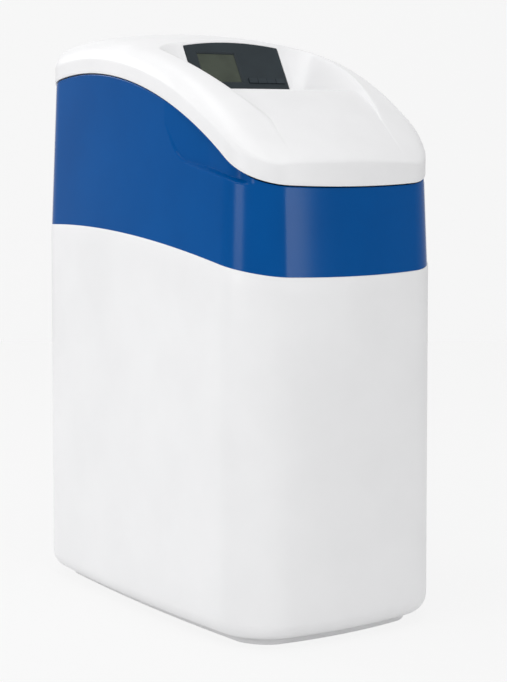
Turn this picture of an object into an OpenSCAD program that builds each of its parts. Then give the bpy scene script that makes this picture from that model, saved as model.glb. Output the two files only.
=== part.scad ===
// Compact cabinet water softener: white brine cabinet, blue upper housing, hinged white lid,
// resin vessel with control valve, bypass, brine well with float, and a tilted display panel.
// Front faces -Y, the floor is z = 0, and the origin is the middle of the footprint.

/* [Cabinet] */
// Overall width at the middle of the sides
cabinet_w = 290; // [270:1:320]
// Overall depth at the middle of the front
cabinet_d = 508; // [490:1:540]
// Corner radius at the front
front_corner_r = 52; // [44:1:60]
// Corner radius at the back
back_corner_r = 60; // [48:1:66]
// Outward bow of the two long sides
side_bow = 10.8; // [6:0.2:14]
// Outward bow of the front and the back
front_bow = 18; // [10:0.5:20]
// Wall of the cabinet moulding
cabinet_wall = 4; // [3:0.5:5]
// Height of the moulded foot
foot_h = 9; // [6:1:14]
// Inset of the foot from the sides
foot_inset = 24; // [22:1:30]
// Rounding of the bottom edge
base_round = 20; // [14:1:21]
// Flare of the sides towards the base
base_flare = 2; // [0:0.5:4]

/* [Seam between cabinet and housing] */
// Radius of the seam's arc in side view
seam_r = 1585; // [1200:5:2400]
// Distance of the arc's crown behind the middle
seam_crown_y = 114; // [60:1:160]
// Height of the arc's crown
seam_crown_z = 446.5; // [430:0.5:460]
// Step of the housing inside the cabinet's rim
seam_step = 1; // [0.5:0.1:2]
// Depth of the housing's skirt inside the cabinet
skirt_h = 12; // [8:1:18]
// Clearance of the skirt in the cabinet
skirt_gap = 0.3; // [0.2:0.05:0.6]

/* [Upper housing] */
// Wall of the housing
housing_wall = 3.5; // [2.5:0.25:4.5]
// Inward draft in millimetres for each millimetre of height
housing_draft = 0.0444; // [0.02:0.001:0.06]
// Depth of the finger scoops at their front end
scoop_depth = 6; // [3:0.5:8]
// Rear end of the finger scoops
scoop_back_y = -80; // [-100:1:-70]
// Lower edge of the scoops at their front end
scoop_low_z = 504.7; // [500:0.1:508]
// Rise of that edge for each millimetre towards the back
scoop_rise = 0.228; // [0.18:0.002:0.26]
// Width of the rear opening for the pipes
pipe_opening_w = 200; // [190:2:210]
// Height of the rear opening for the pipes
pipe_opening_h = 92; // [84:1:96]

/* [Lid] */
// Radius of the convex arc of the lid line
line_r = 512; // [480:1:560]
// Distance of that arc's crown behind the middle
line_crown_y = 107; // [90:1:120]
// Height of that arc's crown
line_crown_z = 627; // [615:0.5:640]
// Radius of the concave arc at the front
line_front_r = 172; // [140:1:200]
// Level that the concave arc runs out to
line_front_z = 492.5; // [485:0.5:500]
// Gap between the housing and the lid
lid_gap = 1.2; // [0.8:0.1:2]
// Height of the lid's upright lip at its sides
lip_h = 18.6; // [18:0.2:22]
// Extra height of the lip in the middle of the front
lip_front = 6; // [2:0.5:8]
// Overhang of the lip beyond the housing
lip_over = 1.5; // [0.5:0.1:2.5]
// Rise of the rounded shoulder above the lip
shoulder_h = 17.2; // [14:0.2:20]
// Distance over which the shoulder rounds in
shoulder_run = 6; // [5:0.5:9]
// Rise of the crowned top above the shoulder
crown_h = 13.3; // [10:0.1:16]
// Wall of the lid
lid_wall = 3.2; // [2.5:0.1:4]
// Distance over which the slope rises behind the front lip
slope_run = 30; // [20:1:45]

/* [Display recess] */
// Half width of the recess floor
recess_half = 67; // [60:0.5:72]
// Rise of the recess walls for each millimetre outward
wall_slope = 1.4; // [1.1:0.05:1.7]
// Half width between the crests beside the panel
crest_half = 108.5; // [104:0.5:112]
// Half width between the front tips of the crests
crest_tip = 76.8; // [74:0.2:80]
// Front tips of the crests
crest_tip_y = -193; // [-198:1:-188]
// Drop of the front slope below the crown for each millimetre behind the tips
slope_drop = 0.135; // [0.1:0.005:0.16]
// Level of the recess floor
recess_z = 606; // [602:0.5:610]
// Foot of the tilted panel
panel_y = -33; // [-40:0.5:-26]
// Tilt of the panel from level
panel_tilt = 61; // [55:0.5:66]
// Height of the panel along its slope, at its corners
panel_h = 61; // [56:0.5:62]
// Rise of the panel's arched top edge
panel_arch = 6; // [3:0.5:8]
// Thickness of the panel
panel_t = 3; // [2.5:0.25:4]
// Gap round the panel in the lid's window
panel_gap = 1; // [0.6:0.1:1.5]
// Width of the display's window
display_w = 52; // [44:0.5:54]
// Height of the display's window
display_h = 38; // [30:0.5:40]
// Middle of the display's window, left of the panel's middle
display_x = -24; // [-28:0.5:-20]
// Lower edge of the display's window up the panel
display_v = 13; // [10:0.5:16]
// Bevel round the display's window
bevel = 1.4; // [0.6:0.1:1.5]
// Gap between neighbouring keys
key_gap = 0.6; // [0.4:0.1:2]
// Height of a key
key_h = 6.4; // [5:0.2:8]
// Spacing of the keys
key_pitch = 12.8; // [10:0.1:14.5]
// Gap between the last key and the wall of the control housing
key_margin = 1.8; // [1.2:0.1:4]
// Middle of the keys up the panel
key_v = 14.5; // [12:0.5:18]
// Travel of a key
key_travel = 1; // [0.6:0.1:1.2]
// Height of a key above the panel
key_stand = 1.2; // [0.8:0.1:2]

/* [Resin vessel] */
// Outer radius of the vessel
vessel_r = 101; // [92:0.5:104]
// Height of the vessel up to its neck's rim
vessel_h = 430; // [420:1:436]
// Height of each domed end
dome_h = 50; // [40:1:60]
// Wall of the vessel
vessel_wall = 3.5; // [2.5:0.25:5]
// Outer radius of the neck
neck_r = 40; // [36:0.5:46]
// Radius of the neck's opening
neck_bore_r = 32; // [28:0.5:34]
// Length of the neck
neck_h = 18; // [14:1:24]
// Free space between the vessel and the back wall
vessel_back_gap = 31; // [27:0.5:36]
// Height of the boot round the vessel's foot
boot_h = 70; // [50:1:90]
// Wall of the boot
boot_wall = 3.5; // [2.5:0.25:4]
// Depth of the resin
resin_h = 250; // [180:1:280]
// Height of the upper strainer's basket
basket_h = 40; // [32:1:46]
// Depth of the basket's foot below the neck
basket_drop = 64; // [56:1:70]

/* [Valve] */
// Outer radius of the valve's barrel
barrel_r = 35; // [33:0.5:36]
// Bore of the barrel
bore_r = 27; // [25:0.25:28]
// Height of the barrel's axis above the neck
barrel_rise = 58; // [54:0.5:62]
// Length of the barrel
barrel_l = 114; // [110:1:120]
// Radius of the piston
piston_r = 22; // [20:0.25:23]
// Length of the piston
piston_l = 50; // [44:1:56]
// Travel of the piston
piston_travel = 40; // [30:1:44]
// Radius of the piston's rod
rod_r = 5; // [4:0.25:6]
// Offset of the inlet and outlet ports from the middle
port_x = 42; // [41:0.5:44]
// Outer radius of the ports
port_r = 17; // [16:0.25:18]
// Bore of the ports
port_bore_r = 12; // [10:0.25:13]
// Radius of the pipe thread on the bypass
thread_r = 13.2; // [12:0.1:14]
// Length of the pipe thread
thread_l = 20; // [16:1:24]
// Radius of a hose tail
hose_r = 6.25; // [5:0.05:7]
// Length of a hose tail
hose_l = 24; // [18:1:30]
// Module of the drive gears
gear_module = 2; // [1.8:0.1:2.1]
// Teeth of the drive gear
gear_teeth = 42; // [40:2:44]
// Teeth of the motor's pinion
pinion_teeth = 10; // [10:1:12]
// Width of the gears
gear_w = 10; // [7:0.5:11]
// Radius of the motor
motor_r = 15; // [12:0.5:15.5]

/* [Brine well] */
// Radius of the well
well_r = 42; // [36:0.5:44]
// Wall of the well
well_wall = 2.5; // [2:0.25:3.5]
// Free space between the well and the cabinet's left wall
well_side_gap = 18; // [17:0.5:24]
// Free space between the well and the cabinet's front wall
well_front_gap = 28; // [24:0.5:40]
// Level of the well's rim
well_top = 430; // [420:1:440]
// Offset of the riser pipe and the float's rod from the well's axis
rod_offset = 14; // [13:0.5:16]
// Distance between the two guides of the float's rod
guide_span = 270; // [240:5:290]
// Height of the float's body
float_h = 40; // [30:1:50]
// Level of the float's body above its stop
float_rise = 90; // [70:1:100]
// Radius of the float
float_r = 19; // [15:0.5:20]
// Travel of the float
float_travel = 60; // [40:1:70]
// Radius of the brine line
brine_r = 4.75; // [4:0.25:5]
// Level of the salt grid above the floor
grid_rise = 45; // [35:1:55]
// Spacing of the grid's holes
grid_pitch = 22; // [18:0.5:28]
// Radius of the grid's holes
grid_hole_r = 5; // [3.5:0.25:6.5]
// Distance of the grid's legs from the cabinet's sides
leg_inset = 34; // [30:1:40]
// Radius of the grid's legs
leg_r = 5; // [4:0.5:6]
// Level of the overflow above the floor
overflow_z = 400; // [380:1:410]
// Length of the float's rod below the lower guide
rod_below = 24; // [16:1:30]
// Length of the float's rod above the upper guide
rod_above = 16; // [10:1:24]

/* [Fits] */
// Radial clearance of turning and sliding pieces
run_fit = 0.05; // [0.03:0.01:0.09]
// Clearance of pieces that are put together by hand
slip_fit = 0.3; // [0.2:0.05:0.5]

/* [Hidden] */
$fn = 64;

white = "#f4f4f5";
blue = "#004f93";
slate = "#2b343a";
black = "#1d1f21";
grey = "#8d9296";
steel = "#c6c8ca";
eps = 0.01;

half_w = cabinet_w / 2;
half_d = cabinet_d / 2;
floor_z = foot_h + cabinet_wall;
corner_steps = 8;
front_flat = 30;

// Height of the seam: one large arc in side view
function seam_z(y) = seam_crown_z - seam_r + sqrt(pow(seam_r, 2) - pow(y - seam_crown_y, 2));

// Height of the lid line: a convex arc that runs into a concave arc at the front
line_centre_z = line_crown_z - line_r;
line_sum = line_r + line_front_r;
line_front_y = line_crown_y - sqrt(pow(line_sum, 2) - pow(line_front_z + line_front_r - line_centre_z, 2));
line_blend_y = line_front_y + (line_crown_y - line_front_y) * line_front_r / line_sum;
function line_z(y) = y > line_blend_y
    ? line_centre_z + sqrt(pow(line_r, 2) - pow(y - line_crown_y, 2))
    : line_front_z + line_front_r - sqrt(pow(line_front_r, 2) - pow(max(y - line_front_y, 0), 2));

// Places that follow from the driving sizes
vessel_y = half_d - cabinet_wall - vessel_back_gap - vessel_r;
vessel_z = floor_z + boot_wall;
neck_z = vessel_z + vessel_h;
valve_z = neck_z + barrel_rise;
barrel_front = vessel_y - barrel_l / 2 - 5;
barrel_back = barrel_front + barrel_l;
port_end = barrel_back + 10;
nut_half = 9;
bypass_r = 21;
bypass_y = port_end + nut_half + bypass_r + 2;
pinion_rise = gear_module * (gear_teeth + pinion_teeth) / 2;
cap_t = 12;
plate_t = 3;
plate_back = barrel_front - cap_t - 3;
plate_front = plate_back - plate_t;
gear_front = plate_front - 2 - gear_w;
lug_y = vessel_y - 18;
lug_z = valve_z + 14;
drain_x = port_x + 42;
shell_half = recess_half - 1;
shell_t = 2.5;
key_w = key_pitch - key_gap;
key_x = shell_half - shell_t - key_margin - key_w / 2 - 3 * key_pitch;
shell_back = vessel_y - 40;
hinge_half = 26;
hinge_r = 4;
hinge_pin_r = 2;
flat_y = half_d - front_bow * pow(front_flat / half_w, 2);
hinge_z = line_z(flat_y) - 1;
lip_back_y = flat_y - lid_inset(flat_y);
hinge_y = lip_back_y + hinge_r + 1;
well_x = -(half_w - cabinet_wall - well_side_gap - well_r);
well_y = -(half_d - cabinet_wall - well_front_gap - well_r);
valve_x = well_x - rod_offset;
float_x = well_x + rod_offset;
guide_z = floor_z + 46;
brine_exit_z = well_top - 18;
brine_elbow_x = barrel_r + 28;

function clamp01(t) = min(max(t, 0), 1);
function smooth(t) = let (s = clamp01(t)) s * s * (3 - 2 * s);

// Levels along the long sides where the outline has points, so that the scoops and the recess follow them
side_levels = [-180, -171, -163, -155, -147, -138, -127, -115, -104, -93, -82, -68, -50,
    panel_y - 1, panel_y + panel_h * cos(panel_tilt),
    panel_y + panel_h * cos(panel_tilt) + 4, 30, 68, 106, 144, 174];

// Right half of the plan outline, from the front to the back, bowed on all sides
function half_plan(inset) =
    let (w = half_w - inset, d = half_d - inset, rf = front_corner_r - inset, rb = back_corner_r - inset)
    let (raw = concat(
        [[front_flat, -d], [(front_flat + w - rf) / 2, -d]],
        [for (i = [0 : corner_steps]) let (t = 90 * i / corner_steps)
            [w - rf + rf * sin(t), -d + rf - rf * cos(t)]],
        [for (y = side_levels) [w, y * half_d / (half_d - front_bow)]],
        [for (i = [0 : corner_steps]) let (t = 90 * i / corner_steps)
            [w - rb + rb * cos(t), d - rb + rb * sin(t)]],
        [[(front_flat + w - rb) / 2, d], [front_flat, d]]))
    [for (p = raw) [p[0] * (1 - side_bow / half_w * pow(p[1] / half_d, 2)),
                    p[1] * (1 - front_bow / half_d * pow(p[0] / half_w, 2))]];

// Whole outline: the right half, then its mirror image back to the front
function plan(inset) = let (h = half_plan(inset), n = len(h))
    concat(h, [for (i = [n - 1 : -1 : 0]) [-h[i][0], h[i][1]]]);

// Skin over rings of points that all have the same count; ends are closed or the tube is joined to itself
module skin(rings, ring_closed = false) {
    n = len(rings[0]);
    m = len(rings);
    last = ring_closed ? m - 1 : m - 2;
    sides = [for (j = [0 : last], i = [0 : n - 1])
        let (k = (j + 1) % m, i2 = (i + 1) % n)
        each [[j * n + i, k * n + i, k * n + i2], [j * n + i, k * n + i2, j * n + i2]]];
    caps = ring_closed ? [] : [[for (i = [0 : n - 1]) i], [for (i = [n - 1 : -1 : 0]) (m - 1) * n + i]];
    polyhedron(points = [for (r = rings) each r], faces = concat(sides, caps));
}

function level_ring(inset, z) = [for (p = plan(inset)) [p[0], p[1], z]];

// White brine cabinet: inset foot, rounded base, bowed and slightly flared sides, open top
module cabinet() {
    inner_round = base_round - cabinet_wall;
    function flare(z) = -base_flare * clamp01(1 - z / seam_crown_z);
    outer = concat(
        [level_ring(foot_inset, 0), level_ring(foot_inset, foot_h)],
        [for (t = [0 : 22.5 : 90]) let (z = foot_h + base_round * (1 - cos(t)))
            level_ring(base_round * (1 - sin(t)) + flare(z) - (t == 0 ? 0.5 : 0), z)],
        [[for (p = plan(0)) [p[0], p[1], seam_z(p[1])]]]);
    inner = concat(
        [skirt_ring(cabinet_wall, 0)],
        [for (t = [90 : -30 : 0]) let (z = floor_z + inner_round * (1 - cos(t)))
            level_ring(cabinet_wall + inner_round * (1 - sin(t)) + flare(z), z)]);
    color(white) difference() {
        skin(concat(outer, inner));
        translate([0, half_d - cabinet_wall * 2, overflow_z]) rotate([-90, 0, 0])
            cylinder(r = overflow_r + slip_fit, h = cabinet_wall * 4);
    }
}

// Lower edge of the finger scoops, kept below the lid line where it runs on round the housing
function scoop_edge(y) = min(scoop_low_z + scoop_rise * (y + 209.7), seam_z(y) + 0.72 * (line_z(y) - seam_z(y)),
    line_z(y) - 9);

// Depth of the finger scoop: a sloping ledge inside a rear edge and a lower edge, deeper towards the front
function scoop(x, y, z) =
    let (rear = (scoop_back_y - 3.4 - 0.72 * (559.5 - z) - y) * 0.81,
         deep = scoop_depth * clamp01((scoop_back_y - y) / 110),
         front = (y + half_d - front_corner_r * 0.42) / 22,
         side = (abs(x) - half_w * 0.8) / 12)
    clamp01(min(rear, z - scoop_edge(y)) * 1.5 / scoop_depth) * deep * smooth(front) * smooth(side);

function housing_inset(p, z) = seam_step + housing_draft * (z - seam_z(p[1])) + scoop(p[0], p[1], z);

// Level of a row of the housing: three rows up to the scoops' edge, two over their ledge, three up to the lid line
function row_z(y, k) =
    let (edge = scoop_edge(y), ledge = edge + 4.2)
    k <= 3 ? seam_z(y) + (edge - seam_z(y)) * k / 3
        : k <= 5 ? edge + (ledge - edge) * (k - 3) / 2
        : ledge + (line_z(y) - ledge) * (k - 5) / 3;

// One ring of the housing at one of its rows, set in by the draft and a wall
function housing_ring(k, wall) =
    [for (i = [0 : len(base_plan) - 1])
        let (p = base_plan[i], z = row_z(p[1], k), q = plan_at(i, housing_inset(p, z) + wall))
        [q[0], q[1], z]];

// One point of the outline at its own inset
function plan_at(i, inset) = let (p = base_plan[i], n = base_normals[i]) [p[0] - n[0] * inset, p[1] - n[1] * inset];
base_plan = plan(0);
base_normals = let (n = len(base_plan)) [for (i = [0 : n - 1])
    let (a = base_plan[(i + n - 1) % n], b = base_plan[(i + 1) % n], t = b - a) [t[1], -t[0]] / norm(t)];

function skirt_ring(inset, drop) = [for (i = [0 : len(base_plan) - 1])
    let (q = plan_at(i, inset)) [q[0], q[1], seam_z(base_plan[i][1]) - drop]];

// Blue upper housing: drafted band between the seam and the lid line, with scoops and a rear pipe opening
module upper_housing() {
    skirt_in = cabinet_wall + skirt_gap;
    rings = concat(
        [for (k = [0 : 8]) housing_ring(k, 0)],
        [for (k = [8, 5, 3, 1]) housing_ring(k, housing_wall)],
        [skirt_ring(skirt_in + housing_wall, skirt_h), skirt_ring(skirt_in, skirt_h), skirt_ring(skirt_in, 0)]);
    color(blue) difference() {
        skin(rings, true);
        translate([-pipe_opening_w / 2, half_d - 60, valve_z - 36]) cube([pipe_opening_w, 100, pipe_opening_h]);
    }
}

// Inset of the lid's lip from the plan outline
function lid_inset(y) = seam_step + housing_draft * (line_z(y) - seam_z(y)) - lip_over;

// Height of the fold between the lip and the top: a little higher towards the front, most at the front corners
function fold_h(y) = lip_h + 1.2 * smooth((20 - y) / 120) + 1.6 * exp(-pow((y + 195) / 28, 2));

// Crowned top of the lid before the recess: a rounded shoulder and a flat crown, both running out at the ends
function crown_z(x, y, hx) =
    let (bow = front_bow * pow(x / half_w, 2),
         front = max(y + half_d - lid_inset(y) - bow, 0),
         back = max(half_d - lid_inset(y) - bow - y, 0),
         side = max(hx - abs(x), 0),
         u = min(abs(x) / hx, 1))
    line_z(y) + lid_gap + fold_h(y) + lip_front * clamp01(1 - pow(x / 95, 2)) * smooth(1 - front / 30)
        + (shoulder_h * (1 - exp(-side / shoulder_run)) + crown_h * (1 - u * u))
            * (1 - exp(-front / slope_run)) * (1 - exp(-back / 12));

// Half width between the crests: widest beside the panel's foot, drawing in to the hood and to the front tips
crest_y = panel_y + 6;
function crest_x(y) = y > crest_y
    ? crest_half - 11.5 * pow(clamp01((y - crest_y) / 22), 2)
    : crest_half - (crest_half - crest_tip) * pow(clamp01((crest_y - y) / (crest_y - crest_tip_y)), 2);

// Sunken middle of the lid: the front slope, ever lower than the crown behind the tips, up to the recess floor
function sunk_z(x, y, hx) = min(recess_z, crown_z(x, y, hx) - slope_drop * max(y - crest_tip_y + 5, 0));

// Recess surface: the sunken middle, straight walls up to the crests, and the tilted panel behind
function recess_surface(x, y, hx) =
    let (crest = crest_x(y))
    max(sunk_z(x, y, hx), crown_z(crest, y, hx) - wall_slope * (crest - abs(x)),
        recess_z + (y - panel_y) * tan(panel_tilt));

// Half width at the foot of the recess walls
function foot_x(y, hx) = let (crest = crest_x(y))
    crest - max(crown_z(crest, y, hx) - sunk_z(crest, y, hx), 3) / wall_slope;

function lid_top(x, y, hx) = let (top = crown_z(x, y, hx))
    y > crest_tip_y && abs(x) < crest_x(y) ? min(top, recess_surface(x, y, hx)) : top;

// Places across one half of the lid: shares of the floor, of the wall up to the crest, and of the shoulder
function across(y, hx, floor, wall, shoulder) =
    let (crest = min(crest_x(y), hx * 0.8), foot = min(max(foot_x(y, hx), recess_half), crest * 0.97))
    concat([for (s = floor) s * foot], [for (s = wall) foot + (crest - foot) * s],
        [for (s = shoulder) hx - (hx - crest) * s]);

function mirrored(xs) = concat([for (i = [len(xs) - 1 : -1 : 1]) -xs[i]], xs);

// Sections of the lid across its width, from the front to the back
module lid_shell() {
    half = len(base_plan) / 2;
    sections = [for (j = [0 : half - 1])
        let (q = plan_at(j, lid_inset(base_plan[j][1])), y = q[1], hx = q[0],
             low = line_z(base_plan[j][1]) + lid_gap,
             solid = j < 2 || j > half - 3,
             hi = hx - (solid ? lid_wall * 2 : lid_wall),
             outer = mirrored(across(y, hx, [0, 0.3, 0.6, 0.85, 1], [0.35, 0.7, 1],
                [0.72, 0.48, 0.3, 0.18, 0.09, 0.03, 0])),
             inner = mirrored(across(y, hi, [0, 0.46, 0.81, 1], [0.5, 1], [0.5, 0.17, 0])))
        concat(
            [[-hx, y, low]],
            [for (x = outer) [x, y, lid_top(x, y, hx)]],
            [[hx, y, low]],
            [for (i = [len(inner) - 1 : -1 : 0]) let (x = inner[i])
                [x, y, solid || i == 0 || i == len(inner) - 1 ? low : lid_top(x, y, hx) - lid_wall * 1.2]])];
    skin(sections);
}

// Frame of the panel: x across, y up the slope, z out of its face
module on_panel() {
    translate([0, panel_y, recess_z]) rotate([panel_tilt, 0, 0]) children();
}

// Panel outline with its arched top edge
module panel_outline(grow) {
    half = recess_half + grow;
    arch_r = (pow(recess_half, 2) + pow(panel_arch, 2)) / (2 * panel_arch) + grow;
    intersection() {
        translate([-half, 1 - grow]) square([half * 2, panel_h + panel_arch + grow * 2]);
        translate([0, panel_h + panel_arch - arch_r + grow]) circle(r = arch_r, $fn = 128);
    }
}

// White lid: upright lip, crowned S-shaped top, flared display recess with a window for the panel
module lid() {
    color(white) resize([0, 0, 0]) difference() {
        lid_shell();
        on_panel() translate([0, 0, -12]) linear_extrude(24) panel_outline(panel_gap - 1 + eps);
    }
}

// Knuckle of the rear hinge between two places across the width
module knuckle(x0, x1, bore) {
    translate([x0, hinge_y, hinge_z]) rotate([0, 90, 0]) difference() {
        cylinder(r = hinge_r, h = x1 - x0);
        translate([0, 0, -1]) cylinder(r = bore, h = x1 - x0 + 2);
    }
}

// Leaf of the hinge that is screwed to the housing's rear wall
leaf_t = 2;
leaf_h = 26;
leaf_gap = 0.08;
leaf_y = flat_y - seam_step - housing_draft * (hinge_z - 8 - seam_z(flat_y));
module hinge_leaf() {
    color(blue) difference() {
        union() {
            for (s = [-1, 1]) knuckle(s > 0 ? 11.3 : -hinge_half, s > 0 ? hinge_half : -11.3, hinge_pin_r);
            for (s = [-1, 1]) translate([s > 0 ? 11.3 : -hinge_half, leaf_y + 0.6, hinge_z - 8])
                cube([hinge_half - 11.3, hinge_y - leaf_y - 0.6, 5]);
            translate([-hinge_half, leaf_y + leaf_gap, hinge_z - 8]) rotate([atan(housing_draft), 0, 0])
                translate([0, 0, -leaf_h]) cube([hinge_half * 2, leaf_t, leaf_h]);
        }
        leaf_screw_places() cylinder(r = 1.8, h = 20, center = true);
    }
}

// Places of the two screws of the housing's leaf
module leaf_screw_places() {
    for (s = [-1, 1]) translate([s * 16, leaf_y + leaf_gap, hinge_z - 8]) rotate([atan(housing_draft), 0, 0])
        translate([0, 0, -leaf_h / 2]) rotate([-90, 0, 0]) children();
}

// Leaf of the hinge that is screwed to the lid's rear lip
lid_leaf_z = hinge_z + hinge_r + 3;
module lid_hinge_leaf() {
    color(white) difference() {
        union() {
            knuckle(-11, 11, hinge_pin_r + run_fit);
            translate([-11, lip_back_y + eps, hinge_z + 2.5]) cube([22, hinge_y - lip_back_y - eps, 4]);
            translate([-20, lip_back_y + eps, lid_leaf_z - 1]) cube([40, leaf_t, 14]);
        }
        lid_screw_places() cylinder(r = 1.8, h = 20, center = true);
        translate([-20, hinge_y, hinge_z]) rotate([0, 90, 0]) cylinder(r = hinge_pin_r + run_fit, h = 40);
    }
}

// Places of the two screws of the lid's leaf
module lid_screw_places() {
    for (s = [-1, 1]) translate([s * 14, lip_back_y, lid_leaf_z + 6]) rotate([-90, 0, 0]) children();
}

// Pan-head screw: its head lies on the leaf and its shank goes into the wall
module leaf_screw() {
    translate([0, 0, leaf_t + eps]) cylinder(r1 = 3.2, r2 = 2.4, h = 1.8);
    translate([0, 0, -3]) cylinder(r = 1.5, h = 3 + leaf_t + 2 * eps);
}

module hinge_screws() { color(steel) leaf_screw_places() leaf_screw(); }
module lid_screws() { color(steel) lid_screw_places() leaf_screw(); }
module hinge_pin() {
    color(steel) translate([-hinge_half, hinge_y, hinge_z]) rotate([0, 90, 0])
        cylinder(r = hinge_pin_r, h = hinge_half * 2);
}

// Side profile of the control housing, open towards the back and the bottom
function shell_profile(t) =
    let (c = cos(panel_tilt), s = sin(panel_tilt), n = panel_t + t,
         y0 = panel_y + 2 * c + n * s, z0 = recess_z + 2 * s - n * c,
         top = recess_z + (panel_h - 4) * s - (panel_t + t) * c,
         y1 = panel_y + (panel_h - 4) * c + n * s)
    [[y0, valve_z - 44 - t * 4], [y0, z0], [y1, top], [shell_back + t * 4, top], [shell_back + t * 4, valve_z + 44],
     [y0 + 18, valve_z - 44 - t * 4]];

module side_extrude(points, half) {
    translate([half, 0, 0]) rotate([0, -90, 0]) linear_extrude(half * 2)
        polygon([for (p = points) [p[1], p[0]]]);
}

// Control housing: hood over the drive that carries the display panel
module control_housing() {
    color(slate) difference() {
        side_extrude(shell_profile(0), shell_half);
        side_extrude(shell_profile(shell_t), shell_half - shell_t);
        on_panel() translate([shell_t - shell_half, 6, -12]) cube([(shell_half - shell_t) * 2, panel_h - 14, 12]);
        translate([shell_half - 28, shell_back - 14, lug_z + 46]) rotate([0, 90, 0])
            cylinder(r = 5 + slip_fit, h = 60);
    }
}

// Dark display panel with the display's window, key slots and posts for the board
module fascia_panel() {
    color(slate) on_panel() {
        difference() {
            translate([0, 0, -panel_t]) linear_extrude(panel_t) panel_outline(-panel_gap);
            translate([display_x - display_w / 2, display_v, -panel_t - 1]) cube([display_w, display_h, panel_t + 2]);
            translate([key_x + 1.5 * key_pitch, key_v, 0])
                cube([3 * key_pitch + key_w + 2 * slip_fit, key_h + 2 * slip_fit, 20], center = true);
            window_bevel();
        }
        for (x = [4 - board_half, board_half - 4], y = [26, panel_h - 11]) translate([x, y, -board_z]) cylinder(r = 2.5, h = board_z - panel_t);
    }
}

// Bevel round the display's window, cut from the front of the panel
module window_bevel() {
    x0 = display_x - display_w / 2;
    x1 = x0 + display_w;
    v1 = display_v + display_h;
    function corners(grow, z) = [[x0 - grow, display_v - grow, z], [x1 + grow, display_v - grow, z],
        [x1 + grow, v1 + grow, z], [x0 - grow, v1 + grow, z]];
    polyhedron(points = concat(corners(-0.2, -bevel - 0.2), corners(bevel + 0.2, 0.2)),
        faces = [[0, 1, 2, 3], [7, 6, 5, 4], [0, 4, 5, 1], [1, 5, 6, 2], [2, 6, 7, 3], [3, 7, 4, 0]]);
}
board_z = 10.4;
board_t = 1.6;
board_half = shell_half - shell_t - 3.5;

module display_lens() {
    color("#3f453c") on_panel() translate([display_x - display_w / 2 + slip_fit, display_v + slip_fit, -panel_t])
        cube([display_w - 2 * slip_fit, display_h - 2 * slip_fit, 1.2]);
}

module display_module() {
    color(black) on_panel() translate([display_x - display_w / 2 - 2, display_v - 2, -board_z])
        cube([display_w + 4, display_h + 4, board_z - panel_t]);
}

// Push key: cap through the panel, a flange behind it and a plunger over its switch
module key(k) {
    color("#39424a") on_panel() translate([key_x + k * key_pitch, key_v, 0]) {
        translate([-key_w / 2, -key_h / 2, -panel_t - 1]) cube([key_w, key_h, panel_t + 1 + key_stand]);
        translate([-key_w / 2, -key_h / 2 - 0.9, -panel_t - 2.2]) cube([key_w, key_h + 1.8, 1.6]);
        translate([0, 0, -board_z + key_travel + 0.2]) cylinder(r = 2, h = board_z - panel_t - key_travel - 1);
    }
}
module key_1() { key(0); }
module key_2() { key(1); }
module key_3() { key(2); }
module key_4() { key(3); }

module circuit_board() {
    color("#1f6b3a") on_panel() translate([-board_half, 4, -board_z - board_t]) cube([board_half * 2, panel_h - 10, board_t]);
}

// Low-voltage socket in the side of the control housing
module power_socket() {
    color(black) translate([shell_half + eps, shell_back - 14, lug_z + 46]) rotate([0, 90, 0]) difference() {
        union() {
            cylinder(r = 7, h = 2);
            translate([0, 0, -12]) cylinder(r = 5, h = 13);
        }
        translate([0, 0, -9]) cylinder(r = 2.75, h = 20);
    }
}

// Points of the vessel's wall at an inset: flat foot, domed end, straight side, domed top, neck
foot_flat_r = 30;
function vessel_points(t) =
    let (r = vessel_r - t, z1 = neck_z - neck_h - dome_h, z0 = vessel_z + dome_h)
    concat([for (a = [0 : 10 : 90]) [foot_flat_r + (r - foot_flat_r) * sin(a), z0 - (dome_h - t) * cos(a)]],
           [for (a = [0 : 10 : 90]) let (n = t > 0 ? neck_bore_r : neck_r)
               [n + (r - n) * cos(a), z1 + (dome_h - t) * sin(a)]],
           [[t > 0 ? neck_bore_r : neck_r, neck_z]]);

// Resin vessel: wound shell with domed ends and a threaded neck
module resin_vessel() {
    inner = vessel_points(vessel_wall);
    color("#3d5a78") translate([0, vessel_y, 0]) rotate_extrude($fn = 96)
        polygon(concat([[0, vessel_z]], vessel_points(0),
            [for (i = [len(inner) - 1 : -1 : 0]) inner[i]], [[0, vessel_z + vessel_wall]]));
}

// Black boot that the vessel stands in
module vessel_boot() {
    color(black) translate([0, vessel_y, 0]) rotate_extrude($fn = 96)
        polygon([[20, floor_z], [vessel_r - 10, floor_z], [vessel_r + slip_fit + boot_wall, floor_z + 12],
            [vessel_r + slip_fit + boot_wall, floor_z + boot_h], [vessel_r + slip_fit, floor_z + boot_h],
            each [for (a = [90 : -10 : 0]) [foot_flat_r + (vessel_r + slip_fit - foot_flat_r) * sin(a),
                vessel_z + dome_h * (1 - cos(a))]], [20, vessel_z]]);
}

riser_r = 13.5;
// Ion-exchange resin, as one settled bed inside the vessel
module resin_bed() {
    low = vessel_z + dome_h;
    r = vessel_r - vessel_wall - slip_fit;
    color("#b9772f") translate([0, vessel_y, 0]) rotate_extrude($fn = 96)
        polygon([[riser_r + slip_fit, low], [r, low], [r, low + resin_h], [riser_r + slip_fit, low + resin_h]]);
}

strainer_top = vessel_z + dome_h - slip_fit;
strainer_foot = vessel_z + vessel_wall;
// Riser tube from the bottom strainer up to the valve
module riser_tube() {
    color(white) translate([0, vessel_y, strainer_top]) difference() {
        cylinder(r = riser_r, h = neck_z + 6 - strainer_top);
        translate([0, 0, -1]) cylinder(r = riser_r - 2, h = 600);
    }
}

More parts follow.
